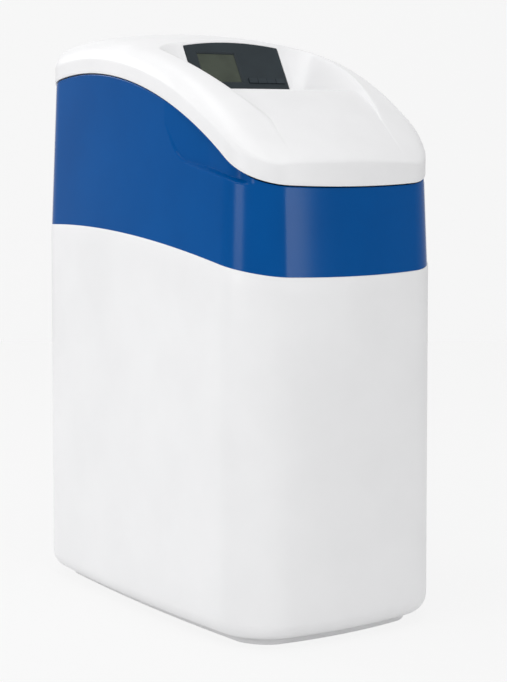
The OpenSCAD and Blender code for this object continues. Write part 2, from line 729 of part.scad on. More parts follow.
// Slotted basket under the riser tube
module bottom_strainer() {
    color("#d9d6cc") translate([0, vessel_y, 0]) difference() {
        translate([0, 0, strainer_foot]) cylinder(r = 22, h = strainer_top - strainer_foot);
        translate([0, 0, strainer_foot + 3]) cylinder(r = riser_r - 2, h = 100);
        for (k = [0 : 4], a = [0 : 45 : 315]) rotate(a)
            translate([riser_r - 1, -5, strainer_foot + 6 + k * 7]) cube([20, 10, 1.6]);
    }
}

// Slotted basket under the valve
module top_strainer() {
    r = neck_bore_r - 5;
    color("#d9d6cc") translate([0, vessel_y, neck_z - basket_drop]) difference() {
        cylinder(r = r, h = basket_h);
        translate([0, 0, -1]) cylinder(r = riser_r + slip_fit, h = basket_h + 2);
        for (k = [0 : 4], a = [0 : 45 : 315]) rotate(a) translate([riser_r + 3, -5, 5 + k * 7]) cube([20, 10, 1.6]);
    }
}

module along_y(x, y, z) { translate([x, y, z]) rotate([-90, 0, 0]) children(); }

// Valve body: collar on the vessel's neck, piston barrel, inlet and outlet ports, drain and brine lugs
module valve_body() {
    color(black) difference() {
        union() {
            translate([0, vessel_y, neck_z]) cylinder(r = 50, h = 22);
            translate([0, vessel_y, neck_z]) cylinder(r = 44, h = barrel_rise);
            translate([0, vessel_y, neck_z - 24]) cylinder(r = neck_bore_r - slip_fit, h = 30);
            along_y(0, barrel_front, valve_z) cylinder(r = barrel_r, h = barrel_l);
            for (s = [-1, 1]) along_y(s * port_x, vessel_y + 10, valve_z) cylinder(r = port_r, h = port_end - vessel_y - 10);
            for (s = [-1, 1]) translate([0, lug_y, lug_z]) rotate([0, s * 90, 0]) cylinder(r = 11, h = barrel_r + 14);
        }
        along_y(0, barrel_front - 1, valve_z) cylinder(r = bore_r, h = barrel_l - 5);
        for (s = [-1, 1]) along_y(s * port_x, port_end - 42, valve_z) cylinder(r = port_bore_r, h = 60);
        for (s = [-1, 1]) translate([0, port_end - 32, valve_z]) rotate([0, s * 90, 0]) cylinder(r = 8, h = port_x);
        translate([0, vessel_y, neck_z - 30]) cylinder(r = riser_r + slip_fit, h = 36 + slip_fit);
        translate([0, vessel_y, neck_z]) cylinder(r = riser_r - 2, h = barrel_rise);
        for (s = [-1, 1]) translate([0, lug_y, lug_z]) rotate([0, s * 90, 0]) cylinder(r = 5, h = barrel_r + 20);
    }
}

seal_w = 4;
seal_count = 5;
plug_l = 6;
stack_l = barrel_l - 6 - plug_l;
spacer_w = (stack_l - seal_count * seal_w) / (seal_count - 1);
// Lip seals of the piston, spaced along the bore
module valve_seals() {
    color("#3a2a22") for (k = [0 : seal_count - 1])
        along_y(0, barrel_front + plug_l + k * (seal_w + spacer_w), valve_z) difference() {
            cylinder(r = bore_r - run_fit, h = seal_w);
            translate([0, 0, -1]) cylinder(r = piston_r + run_fit, h = seal_w + 2);
        }
}

// Spacers between the seals, each with windows for the water
module valve_spacers() {
    color(grey) for (k = [0 : seal_count - 2])
        along_y(0, barrel_front + plug_l + seal_w + k * (seal_w + spacer_w), valve_z) difference() {
            cylinder(r = bore_r - run_fit, h = spacer_w);
            translate([0, 0, -1]) cylinder(r = piston_r + 1.5, h = spacer_w + 2);
            for (a = [0 : 60 : 300]) rotate(a) translate([0, -5, 4]) cube([40, 10, spacer_w - 8]);
        }
}

piston_y = barrel_front + plug_l + 2;
rod_front = gear_front - piston_travel - 2;
// Piston with its waisted middle and the rod that the drive gear screws in and out
module valve_piston() {
    color("#e8e4d8") {
        difference() {
            along_y(0, piston_y, valve_z) cylinder(r = piston_r, h = piston_l);
            along_y(0, piston_y + 14, valve_z) difference() {
                cylinder(r = piston_r + 1, h = piston_l - 28);
                translate([0, 0, -1]) cylinder(r = piston_r - 7, h = piston_l);
            }
        }
        along_y(0, rod_front, valve_z) cylinder(r = rod_r, h = piston_y - rod_front + eps);
    }
}

// Cap that closes the barrel and guides the rod
module drive_cap() {
    color(black) difference() {
        union() {
            along_y(0, barrel_front - cap_t, valve_z) cylinder(r = barrel_r - 1, h = cap_t);
            along_y(0, barrel_front, valve_z) cylinder(r = bore_r - run_fit, h = plug_l);
        }
        along_y(0, barrel_front - 40, valve_z) cylinder(r = rod_r + run_fit, h = 80);
        for (a = [0 : 30 : 330]) translate([0, barrel_front - cap_t - 1, valve_z]) rotate([0, a, 0])
            translate([barrel_r - 3, 0, -2]) cube([6, cap_t - 3, 4]);
    }
}

// Plate that carries the motor and the drive gear, held between the cap and the control housing
module drive_bracket() {
    half = shell_half - shell_t;
    color(grey) difference() {
        union() {
            translate([-half, plate_front, valve_z - 40]) cube([half * 2, plate_t, pinion_rise + 40 + motor_r + 8]);
            for (s = [-1, 1]) along_y(s * 22, plate_back, valve_z - 12) cylinder(r = 5, h = 3);
        }
        along_y(0, plate_front - 1, valve_z) cylinder(r = gear_hub_r + run_fit, h = 20);
        along_y(0, plate_front - 1, valve_z + pinion_rise) cylinder(r = 4, h = 20);
    }
}
gear_hub_r = 10;

// Geared motor behind the plate, with its shaft
module drive_motor() {
    color(steel) along_y(0, plate_back, valve_z + pinion_rise) {
        cylinder(r = motor_r, h = 30);
        translate([0, 0, 30]) cylinder(r = motor_r * 0.5, h = 4);
        translate([0, 0, -(plate_back - gear_front) + 1]) cylinder(r = 2.5, h = plate_back - gear_front);
    }
}

// Spur gear outline with straight-sided teeth and backlash
tooth_backlash = 0.45;
module gear_outline(teeth, phase) {
    pitch_r = gear_module * teeth / 2;
    half_tooth = 90 / teeth - tooth_backlash / pitch_r * 180 / PI / 2;
    root_r = pitch_r - 1.25 * gear_module;
    tip_r = pitch_r + 0.9 * gear_module;
    polygon([for (k = [0 : teeth - 1]) let (a = 360 / teeth * (k + phase))
        each [for (c = [[root_r, -1.45], [tip_r, -0.45], [tip_r, 0.45], [root_r, 1.45]])
            c[0] * [cos(a + c[1] * half_tooth), sin(a + c[1] * half_tooth)]]]);
}

module drive_gear() {
    color("#e8e4d8") along_y(0, gear_front, valve_z) difference() {
        union() {
            difference() {
                linear_extrude(gear_w) gear_outline(gear_teeth, 0);
                translate([0, 0, -1]) difference() {
                    cylinder(r = gear_module * gear_teeth / 2 - 8, h = 4);
                    translate([0, 0, -1]) cylinder(r = gear_hub_r + 4, h = 6);
                }
            }
            translate([0, 0, gear_w - eps]) cylinder(r = gear_hub_r, h = plate_back - gear_front - gear_w);
        }
        translate([0, 0, -1]) cylinder(r = rod_r + run_fit, h = 60);
    }
}

module motor_pinion() {
    color("#e8e4d8") along_y(0, gear_front, valve_z + pinion_rise) difference() {
        linear_extrude(gear_w) rotate(90) gear_outline(pinion_teeth, 0);
        translate([0, 0, -1]) cylinder(r = 2.5 + run_fit, h = 60);
    }
}

turbine_y = port_end - 18;
// Spider with the axle that the turbine spins on, in the outlet port
module turbine_cage() {
    color(grey) along_y(-port_x, turbine_y, valve_z) {
        translate([0, 0, -6]) cylinder(r = 1, h = 20);
        for (z = [-6, 11]) translate([0, 0, z]) difference() {
            cylinder(r = port_bore_r - slip_fit / 3, h = 3);
            for (a = [0 : 90 : 270]) rotate(a) translate([1.2, 1.2, -1]) cube([20, 20, 5]);
        }
    }
}

module meter_turbine() {
    color(blue) along_y(-port_x, turbine_y, valve_z) difference() {
        union() {
            cylinder(r = 3, h = 8);
            for (a = [0 : 60 : 300]) rotate(a) translate([0, -0.6, 0]) rotate([20, 0, 0])
                translate([0, 0, 0.5]) cube([port_bore_r - 1.5, 1.2, 6.5]);
        }
        translate([0, 0, -2]) cylinder(r = 1 + run_fit, h = 20);
    }
}

// Nuts that join the valve's ports to the bypass
module union_nuts() {
    color(grey) for (s = [-1, 1]) along_y(s * port_x, port_end - nut_half, valve_z) difference() {
        cylinder(r = port_r + 4.5, h = nut_half * 2);
        translate([0, 0, -1]) cylinder(r = port_r + slip_fit, h = nut_half * 2 + 2);
        for (a = [0 : 30 : 330]) rotate(a) translate([port_r + 3.7, -1.5, -1]) cube([5, 3, nut_half * 2 + 2]);
    }
}

stem_r = 9;
bypass_top = valve_z + 24;
// Bypass: two rotor barrels with a cross tube, and the pipe threads at the back
module bypass_body() {
    color(black) difference() {
        union() {
            for (s = [-1, 1]) {
                translate([s * port_x, bypass_y, valve_z - 26]) cylinder(r = bypass_r, h = 50);
                along_y(s * port_x, port_end, valve_z) cylinder(r = port_r, h = bypass_y - port_end);
                along_y(s * port_x, bypass_y, valve_z) cylinder(r = thread_r, h = bypass_r + 3 + thread_l);
                along_y(s * port_x, bypass_y, valve_z) cylinder(r = thread_r + 3, h = bypass_r + 3, $fn = 6);
            }
            translate([-port_x, bypass_y, valve_z]) rotate([0, 90, 0]) cylinder(r = 13, h = port_x * 2);
        }
        for (s = [-1, 1]) {
            along_y(s * port_x, port_end - 1, valve_z) cylinder(r = 9, h = 200);
            translate([s * port_x, bypass_y, bypass_top - 16]) cylinder(r = stem_r + run_fit, h = 20);
        }
    }
}

// Quarter-turn handle: stem in the barrel, dial and a pointed grip
module bypass_handle(x, tint) {
    color(tint) translate([x, bypass_y, bypass_top]) {
        translate([0, 0, -14]) cylinder(r = stem_r, h = 14 + slip_fit + eps);
        translate([0, 0, slip_fit]) cylinder(r = bypass_r - 1, h = 5);
        translate([0, 0, slip_fit + 5 - eps]) linear_extrude(11)
            polygon([[-4.5, -18], [4.5, -18], [4.5, 10], [0, 18], [-4.5, 10]]);
    }
}
module inlet_handle() { bypass_handle(port_x, "#b3262b"); }
module outlet_handle() { bypass_handle(-port_x, "#b3262b"); }

drain_end = half_d + 10;
// Drain elbow: from the valve's side lug to a hose tail at the back
module drain_elbow() {
    start = barrel_r + 14;
    color(black) difference() {
        union() {
            translate([start, lug_y, lug_z]) rotate([0, 90, 0]) cylinder(r = 11, h = 8);
            translate([start, lug_y, lug_z]) rotate([0, 90, 0]) cylinder(r = 8, h = drain_x - start);
            translate([drain_x, lug_y, lug_z]) sphere(r = 8);
            along_y(drain_x, lug_y, lug_z) cylinder(r = 8, h = drain_end - hose_l - lug_y);
            along_y(drain_x, lug_y, lug_z) cylinder(r = hose_r, h = drain_end - lug_y);
        }
        translate([start - 1, lug_y, lug_z]) rotate([0, 90, 0]) cylinder(r = 4.5, h = drain_x - start + 1);
        along_y(drain_x, lug_y, lug_z) cylinder(r = 4.5, h = 300);
    }
}

// Brine elbow: compression fitting on the valve's other lug
module brine_elbow() {
    start = barrel_r + 14;
    color(black) translate([-start, lug_y, lug_z]) rotate([0, -90, 0]) difference() {
        union() {
            cylinder(r = 9, h = 6);
            translate([0, 0, 6 - eps]) cylinder(r = 8.5, h = brine_elbow_x - start - 6 + 4, $fn = 6);
        }
        translate([0, 0, -1]) cylinder(r = 3.2, h = 40);
        translate([0, 0, 5]) cylinder(r = brine_r + slip_fit / 3, h = 40);
    }
}

// Route of the brine line, from the elbow along the left wall down to the well
line_x = -half_w + 28;
brine_route = [
    [-barrel_r - 20, lug_y, lug_z], [-barrel_r - 36, lug_y, lug_z], [line_x + 22, lug_y - 3, lug_z],
    [line_x + 8, lug_y - 12, lug_z - 2], [line_x + 1, lug_y - 30, lug_z - 6], [line_x, lug_y - 60, lug_z - 16],
    [line_x, 0, lug_z - 34], [line_x, -45, brine_exit_z + 44], [line_x + 2, -80, brine_exit_z + 20],
    [valve_x - 5, -105, brine_exit_z + 6], [valve_x, -122, brine_exit_z], [valve_x, well_y + 26, brine_exit_z]];

// Tube swept along a route: a ring of points square to the route at each of its points
function unit(v) = v / norm(v);
function sweep_rings(route, r, sides) = let (n = len(route)) [for (i = [0 : n - 1])
    let (t = unit(route[min(i + 1, n - 1)] - route[max(i - 1, 0)]),
         side = unit(cross(t, [0.1, 0.2, 1])), up = cross(side, t))
    [for (k = [0 : sides - 1]) let (a = 360 * k / sides) route[i] + r * (cos(a) * side + sin(a) * up)]];

module brine_line() { color(white) skin(sweep_rings(brine_route, brine_r, 10)); }

// Brine well: tube on the cabinet floor with slots at its foot
module brine_well() {
    color("#e9ecee") translate([well_x, well_y, 0]) difference() {
        translate([0, 0, floor_z]) cylinder(r = well_r, h = well_top - floor_z);
        translate([0, 0, floor_z - 1]) cylinder(r = well_r - well_wall, h = 600);
        for (a = [0 : 45 : 315], z = [8, 20, 32]) rotate(a) translate([0, -8, floor_z + z]) cube([60, 16, 3]);
        translate([valve_x - well_x, 0, brine_exit_z]) rotate([-90, 0, 0]) cylinder(r = brine_r + slip_fit, h = 60);
    }
}

module brine_well_cap() {
    r = well_r + slip_fit;
    color(white) translate([well_x, well_y, well_top]) difference() {
        union() {
            translate([0, 0, slip_fit]) cylinder(r = r + 2, h = 3);
            translate([0, 0, -8]) cylinder(r = r + 2, h = 9);
            translate([-14, -3, 3]) cube([28, 6, 9]);
        }
        translate([0, 0, -9]) cylinder(r = r, h = 9 + slip_fit);
    }
}

// Safety brine valve: body on the well's floor, riser pipe with its elbow, and guides for the float's rod
float_rod_r = 2.5;
upper_guide_z = guide_z + guide_span;
module safety_brine_valve() {
    color(grey) difference() {
        union() {
            translate([valve_x, well_y, floor_z]) cylinder(r = 12, h = guide_z - floor_z);
            translate([valve_x, well_y, floor_z]) cylinder(r = 5, h = brine_exit_z - floor_z);
            translate([valve_x, well_y, brine_exit_z]) sphere(r = 7);
            along_y(valve_x, well_y, brine_exit_z) cylinder(r = 7, h = 26);
            for (z = [guide_z - 8, upper_guide_z]) translate([valve_x, well_y - 5, z]) cube([float_x - valve_x + 6, 10, 8]);
        }
        translate([float_x, well_y, floor_z]) cylinder(r = float_rod_r + run_fit, h = 400);
    }
}

// Float on its rod, with the stop that rests on the lower guide
module float_assembly() {
    color("#d8dde0") translate([float_x, well_y, 0]) {
        translate([0, 0, guide_z - rod_below])
            cylinder(r = float_rod_r, h = upper_guide_z - guide_z + rod_below + rod_above);
        translate([0, 0, guide_z + slip_fit]) cylinder(r = 6, h = 5);
        translate([0, 0, guide_z + float_rise]) cylinder(r = float_r, h = float_h);
        translate([0, 0, guide_z + float_rise + float_h - eps]) cylinder(r1 = float_r, r2 = 8, h = 10);
    }
}

grid_t = 4;
grid_back_y = vessel_y - vessel_r - boot_wall - 4;
// Salt grid: pierced platform in front of the vessel, on legs
module salt_grid() {
    grid_z = floor_z + grid_rise;
    color("#dfe3e5") {
        translate([0, 0, grid_z]) linear_extrude(grid_t) difference() {
            intersection() {
                polygon(plan(cabinet_wall + 1));
                translate([-half_w, -half_d]) square([cabinet_w, half_d + grid_back_y]);
            }
            translate([well_x, well_y]) circle(r = well_r + 0.8);
            for (x = [-5 : 1 : 5], y = [0 : 1 : 9]) let (p = [x * grid_pitch, grid_back_y - 14 - y * grid_pitch])
                if (norm(p - [well_x, well_y]) > well_r + 10 && abs(p[0]) < half_w - 28
                    && p[1] > -half_d + 40 && norm([p[0], p[1]] - [half_w, -half_d]) > 66)
                    translate(p) circle(r = grid_hole_r, $fn = 16);
        }
        for (p = [[-half_w + leg_inset, grid_back_y - 62], [half_w - leg_inset, grid_back_y - 62],
                  [11, grid_back_y - 122], [half_w - leg_inset, -half_d + 70], [11, -half_d + 62]])
            translate([p[0], p[1], floor_z]) cylinder(r = leg_r, h = grid_rise + eps);
    }
}

overflow_r = 10;
overflow_face = flat_y + base_flare * (1 - overflow_z / seam_crown_z) + 0.15;
// Overflow fitting through the rear wall, with a hose tail
module overflow_fitting() {
    color(black) along_y(0, overflow_face, overflow_z) difference() {
        union() {
            translate([0, 0, 1.5]) cylinder(r = 17, h = 5);
            translate([0, 0, -cabinet_wall - 12]) cylinder(r = overflow_r, h = cabinet_wall + 14);
            cylinder(r = hose_r + 1.5, h = 12);
            cylinder(r = hose_r, h = 12 + hose_l);
        }
        translate([0, 0, -60]) cylinder(r = 4.5, h = 120);
    }
}

module overflow_seal() {
    color(black) along_y(0, overflow_face, overflow_z) difference() {
        cylinder(r = 16, h = 1.5);
        translate([0, 0, -1]) cylinder(r = overflow_r + slip_fit, h = 4);
    }
}

module overflow_nut() {
    color(black) along_y(0, overflow_face - cabinet_wall - 8.3, overflow_z) difference() {
        cylinder(r = 18, h = 8, $fn = 6);
        translate([0, 0, -1]) cylinder(r = overflow_r + run_fit, h = 10);
    }
}

cabinet();
upper_housing();
lid();
hinge_leaf();
lid_hinge_leaf();
hinge_pin();
hinge_screws();
lid_screws();
control_housing();
fascia_panel();
display_lens();
display_module();
key_1();
key_2();
key_3();
key_4();
circuit_board();
power_socket();
resin_vessel();
vessel_boot();
resin_bed();
riser_tube();
bottom_strainer();
top_strainer();
valve_body();
valve_seals();
valve_spacers();
valve_piston();
drive_cap();
drive_bracket();
drive_motor();
motor_pinion();
drive_gear();
turbine_cage();
meter_turbine();
union_nuts();
bypass_body();
inlet_handle();
outlet_handle();
drain_elbow();
brine_elbow();
brine_line();
brine_well();
brine_well_cap();
safety_brine_valve();
float_assembly();
salt_grid();
overflow_fitting();
overflow_nut();
overflow_seal();
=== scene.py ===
"""Looks of a compact cabinet water softener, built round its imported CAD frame.

The three large mouldings (cabinet, housing, lid) are surfaces worked out with numpy in millimetres
and put into their meshes in metres. All other pieces are the CAD nodes with their own finishes.
"""
import math

import bmesh
import bpy
import numpy as np
from mathutils import Matrix


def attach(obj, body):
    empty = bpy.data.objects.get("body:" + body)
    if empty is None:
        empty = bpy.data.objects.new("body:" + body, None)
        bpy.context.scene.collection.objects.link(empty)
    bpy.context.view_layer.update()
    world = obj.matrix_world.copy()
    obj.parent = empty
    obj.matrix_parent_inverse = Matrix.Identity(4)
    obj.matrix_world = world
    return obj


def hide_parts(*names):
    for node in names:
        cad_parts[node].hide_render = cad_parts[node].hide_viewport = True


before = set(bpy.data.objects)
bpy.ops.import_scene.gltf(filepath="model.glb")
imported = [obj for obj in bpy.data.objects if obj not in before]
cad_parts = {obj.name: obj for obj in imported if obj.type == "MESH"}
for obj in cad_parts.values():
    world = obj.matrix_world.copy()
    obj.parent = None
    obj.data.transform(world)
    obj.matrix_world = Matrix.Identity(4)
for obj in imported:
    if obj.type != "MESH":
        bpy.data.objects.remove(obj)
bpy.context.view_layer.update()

# Millimetres in a metre
MM = 1000.0

# Sizes of the mouldings, in millimetres. They repeat the part's source, apart from the lid's wall, which is
# 0.2 thicker here, the width of the scoops' ledge, and LIP_EDGE and COVE, which round edges left sharp there
HALF_W, HALF_D = 145.0, 254.0
FRONT_CORNER, BACK_CORNER = 52.0, 60.0
SIDE_BOW, FRONT_BOW = 10.8, 18.0
WALL, FOOT_H, FOOT_INSET, BASE_ROUND, FLARE = 4.0, 9.0, 24.0, 20.0, 2.0
SEAM_R, SEAM_Y, SEAM_Z, SEAM_STEP = 1585.0, 114.0, 446.5, 1.0
LINE_R, LINE_Y, LINE_Z, LINE_FRONT_R, LINE_FRONT_Z = 512.0, 107.0, 627.0, 172.0, 492.5
DRAFT, HOUSING_WALL = 0.0444, 3.5
SCOOP, SCOOP_BACK, SCOOP_LOW, SCOOP_RISE, LEDGE = 6.0, -80.0, 504.7, 0.228, 4.2
LID_GAP, LIP_OVER, LID_WALL, LIP_H, LIP_FRONT, LIP_EDGE = 1.2, 1.5, 3.4, 18.6, 6.0, 1.2
SHOULDER, SHOULDER_RUN, CROWN, SLOPE_RUN, BACK_RUN = 17.2, 6.0, 13.3, 30.0, 12.0
FLOOR_Z, PANEL_Y, PANEL_TILT, PANEL_H, PANEL_ARCH, PANEL_HALF = 606.0, -33.0, 61.0, 61.0, 6.0, 67.0
WALL_SLOPE, CREST, CREST_Y, CREST_TIP, CREST_TIP_Y = 1.4, 108.5, -27.0, 76.8, -193.0
SLOPE_DROP, DROP_Y, COVE = 0.135, -198.0, 30.0
PIPES_HALF, PIPES_LOW, PIPES_HIGH = 100.0, 468.5, 560.5

# Ends of the straight part of the sides, and the counts of points round a corner and along half a front
# or back
SIDE_FRONT, SIDE_BACK = -186.0, 176.0
CORNER_POINTS, FLAT_POINTS = 30, 22
# Limits that keep the roots in the lid line's two arcs real: a distance and a share of the radius
CONVEX_REACH, CONCAVE_REACH = 400.0, 0.99

# Rounded edges as pairs of inset and height: above the ground for the foot, below the edge for the rims.
# Then how far below the edge each rim's rounding starts, and the size of the inner edges
FOOT_EDGE = ((1.6, 0.0), (0.5, 0.3), (0.0, 1.4))
CABINET_RIM = ((0.12, 0.7), (0.42, 0.25), (1.1, 0.0))
HOUSING_RIM = ((0.12, 0.55), (0.42, 0.18), (1.1, 0.0))
CABINET_RIM_H, HOUSING_RIM_H, RIM_IN = 1.4, 1.1, 0.6

# Finger scoops: front end of the lower edge; shift, top, lean and scale of the rear line; rounding of the
# corner between them; how the depth grows forwards; where the scoops run out, as shares of the corner's
# radius and the half width, and over what distance; rounding of the ledge's two edges
SCOOP_FRONT = -209.7
REAR_SHIFT, REAR_TOP, REAR_LEAN, REAR_SCALE = 3.4, 559.5, 0.72, 0.81
SCOOP_CORNER, GROW_SHIFT, GROW_RUN = 12.0, 4.0, 80.0
FADE_FRONT, FADE_FRONT_RUN, FADE_SIDE, FADE_SIDE_RUN = 0.42, 22.0, 0.8, 12.0
LEDGE_TOP_ROUND, LEDGE_FOOT_ROUND = 1.1, 1.0

# Points of the housing: fine rows from FINE_UNDER below the scoops' edge to FINE_OVER above it, at least
# LINE_CLEAR below the lid line, turning to the pipe opening between ROWS_TURN and ROWS_BACK; fine columns
# at the scoops' rear; share of the way up at which the row next to the seam lies; gap and height of the skirt
LINE_CLEAR, FINE_UNDER, FINE_OVER, ROWS_TURN, ROWS_BACK = 9.5, 1.2, 8.0, -60.0, 150.0
FINE_FRONT, FINE_BACK, SEAM_NEAR = -126.0, -72.0, 0.004
SKIRT_GAP, SKIRT_H = 0.3, 12.0

# Lid's top: insets of its front and back ends, rise of the fold towards the front and at the front
# corners, the front's bulge, the hood behind the display, the roundings between its surfaces,
# the least height of the recess walls, and the runs of the edge and of the cove
TOP_FRONT, TOP_BACK, LEAST_HALF = 3.4, 8.0, 1.0
FOLD_RISE, FOLD_FROM, FOLD_RUN = 1.2, 20.0, 120.0
FOLD_TIP, FOLD_TIP_Y, FOLD_TIP_RUN = 1.6, -195.0, 28.0
BULGE_HALF, BULGE_RUN = 95.0, 30.0
HOOD_IN, HOOD_RUN = 11.5, 22.0
DROP_ROUND, FLOOR_ROUND, WALL_ROUND, PLANE_ROUND, CREST_ROUND = 16.0, 1.6, 2.5, 0.1, 1.0
WALL_LEAST, EDGE_RUN, COVE_RUN = 2.0, 2.5, 12.0

# Points of the lid: ends of the fine columns, of the spine and of the window's arch; rounding of the
# lip's foot; rings near the fold; the largest shares that one ring may take of the next; the
# underside's depth in walls and the last ring without one; the lip's inside; where the long sides begin
LID_FINE_END, SPINE_FRONT, SPINE_BACK, ARCH_END = 12.0, -212.0, 205.0, 16.0
LIP_ROUND, LIP_ROUND_MID = 0.9, 0.25
NEAR_FOLD = (0.15, 0.45, 0.9, 1.6, 2.5, 3.8, 5.4, 7.4, 10.0)
CREST_SHARE, FOOT_SHARE, WINDOW_SHARE = 0.86, 0.97, 0.93
UNDER_SHARE, UNDER_AFTER = 1.15, 5
LIP_INSIDE, LIP_INSIDE_LESS = (0.85, 0.5), 4.0
LONG_SIDE_X = 100.0


def smooth(t):
    """Smooth step from 0 to 1: s*s*(3 - 2*s) of t held between 0 and 1."""
    s = np.clip(t, 0.0, 1.0)
    return s * s * (3.0 - 2.0 * s)


def soft_min(a, b, k):
    """Smaller of two heights, with the edge between them rounded over a height of k."""
    h = np.clip(k - np.abs(a - b), 0.0, None) / k
    return np.minimum(a, b) - h * h * k * 0.25


def soft_max(a, b, k):
    """Larger of two heights, with the corner between them filled over a height of k."""
    return -soft_min(-a, -b, k)


def steps(count):
    """Even steps that end at 1, without the 0 before the first."""
    return np.linspace(0, 1, count + 1)[1:]


def joined(start, *spans):
    """Levels from a start through spans, each given by its end and its count of even steps."""
    levels = [np.array([start])]
    for end, count in spans:
        levels.append(np.linspace(levels[-1][-1], end, count + 1)[1:])
    return np.concatenate(levels)


def seam_z(y):
    """Height of the seam between cabinet and housing: one large arc in side view."""
    return SEAM_Z - SEAM_R + np.sqrt(SEAM_R ** 2 - (y - SEAM_Y) ** 2)


def line_z(y):
    """Height of the lid line: a convex arc that runs into a concave arc at the front."""
    low = LINE_Z - LINE_R
    total = LINE_R + LINE_FRONT_R
    centre = LINE_Y - math.sqrt(total ** 2 - (LINE_FRONT_Z + LINE_FRONT_R - low) ** 2)
    blend = centre + (LINE_Y - centre) * LINE_FRONT_R / total
    convex = low + np.sqrt(LINE_R ** 2 - np.clip(y - LINE_Y, -CONVEX_REACH, CONVEX_REACH) ** 2)
    reach = np.clip(y - centre, 0.0, LINE_FRONT_R * CONCAVE_REACH)
    concave = LINE_FRONT_Z + LINE_FRONT_R - np.sqrt(LINE_FRONT_R ** 2 - reach ** 2)
    return np.where(y > blend, convex, concave)


def plan_outline(side_levels):
    """Closed plan outline from the front round the right side: a rounded rectangle whose sides bow,
    x times 1 - SIDE_BOW/HALF_W (y/HALF_D)^2 and y times 1 - FRONT_BOW/HALF_D (x/HALF_W)^2.
    Gives its points and its outward normals."""
    turn = np.linspace(0.0, math.pi / 2, CORNER_POINTS)
    flat_f = np.linspace(0.0, HALF_W - FRONT_CORNER, FLAT_POINTS)[:-1]
    flat_b = np.linspace(HALF_W - BACK_CORNER, 0.0, FLAT_POINTS)[1:]
    side = side_levels * HALF_D / (HALF_D - FRONT_BOW)
    x = np.concatenate([
        flat_f, HALF_W - FRONT_CORNER + FRONT_CORNER * np.sin(turn), np.full(len(side), HALF_W),
        HALF_W - BACK_CORNER + BACK_CORNER * np.cos(turn), flat_b])
    y = np.concatenate([
        np.full(len(flat_f), -HALF_D), -HALF_D + FRONT_CORNER - FRONT_CORNER * np.cos(turn), side,
        HALF_D - BACK_CORNER + BACK_CORNER * np.sin(turn), np.full(len(flat_b), HALF_D)])
    px = x * (1 - SIDE_BOW / HALF_W * (y / HALF_D) ** 2)
    py = y * (1 - FRONT_BOW / HALF_D * (x / HALF_W) ** 2)
    right = np.stack([px, py], 1)
    left = (right * [-1.0, 1.0])[-2:0:-1]
    loop = np.concatenate([right, left])
    along = np.roll(loop, -1, 0) - np.roll(loop, 1, 0)
    normal = np.stack([along[:, 1], -along[:, 0]], 1)
    return loop, normal / np.linalg.norm(normal, axis=1, keepdims=True)


def ring(outline, inset, height):
    """Ring of an outline moved in along its normals by an inset, at a height; both may vary round it."""
    loop, normal = outline
    inset = np.broadcast_to(np.asarray(inset, float), (len(loop),))
    at = loop - normal * inset[:, None]
    z = np.broadcast_to(np.asarray(height, float), (len(loop),))
    return np.concatenate([at, z[:, None]], 1)


def grid_faces(rows, cols, keep=None):
    """Quads between the neighbouring rows and columns of a grid that closes round its columns. With keep,
    which says which quads stay, the last row also joins the first."""
    r = np.arange(rows - 1 if keep is None else rows)
    a, b = np.meshgrid(r, np.arange(cols), indexing="ij")
    a2, b2 = (a + 1) % rows, (b + 1) % cols
    quads = np.stack([a * cols + b, a * cols + b2, a2 * cols + b2, a2 * cols + b], -1)
    return quads.reshape(-1, 4) if keep is None else quads[keep]


def new_object(name, data):
    """Object with the given data, linked to the scene."""
    obj = bpy.data.objects.new(name, data)
    bpy.context.scene.collection.objects.link(obj)
    return obj


def moulding(name, points, faces, body, nodes, slot):
    """Mesh object from points in millimetres, smooth shaded, riding on a body in place of CAD nodes."""
    mesh = bpy.data.meshes.new(name)
    corners = [f if isinstance(f, list) else f.tolist() for f in faces]
    mesh.from_pydata((points / MM).tolist(), [], corners)
    mesh.validate()
    mesh.shade_smooth()
    obj = new_object(name, mesh)
    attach(obj, body)
    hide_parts(*nodes)
    return obj


def cabinet_shell():
    """Cabinet: rings of the outline from the foot up the rounded base and the flared sides to the rim,
    then down the inside to the floor. Base rounding: inset R(1 - sin t), height R(1 - cos t)."""
    plan = plan_outline(joined(SIDE_FRONT, (SIDE_BACK, 59)))
    seam = seam_z(plan[0][:, 1])

    def flare(z):
        return -FLARE * np.clip(1 - z / SEAM_Z, 0, 1)

    rings = [ring(plan, FOOT_INSET + inset, z) for inset, z in FOOT_EDGE]
    rings.append(ring(plan, FOOT_INSET, FOOT_H))
    for t in np.radians(np.linspace(0, 90, 13)):
        z = FOOT_H + BASE_ROUND * (1 - math.cos(t))
        rings.append(ring(plan, BASE_ROUND * (1 - math.sin(t)) + flare(z), z))
    start = FOOT_H + BASE_ROUND
    for s in steps(21):
        z = start + (seam - CABINET_RIM_H - start) * s
        rings.append(ring(plan, flare(z), z))
    rings += [ring(plan, inset, seam - drop) for inset, drop in CABINET_RIM]
    rings += [ring(plan, WALL - RIM_IN, seam), ring(plan, WALL, seam - RIM_IN)]
    inner_round = BASE_ROUND - WALL
    for s in steps(9):
        z = (seam - RIM_IN) * (1 - s) + (FOOT_H + WALL + inner_round) * s
        rings.append(ring(plan, WALL + flare(z), z))
    for t in np.radians(np.linspace(90, 0, 7)[1:]):
        z = FOOT_H + WALL + inner_round * (1 - math.cos(t))
        rings.append(ring(plan, WALL + inner_round * (1 - math.sin(t)) + flare(z), z))
    rows, cols = len(rings), len(plan[0])
    faces = list(grid_faces(rows, cols))
    faces.append(list(range(cols))[::-1])
    faces.append(list(range((rows - 1) * cols, rows * cols)))
    return np.concatenate(rings), faces


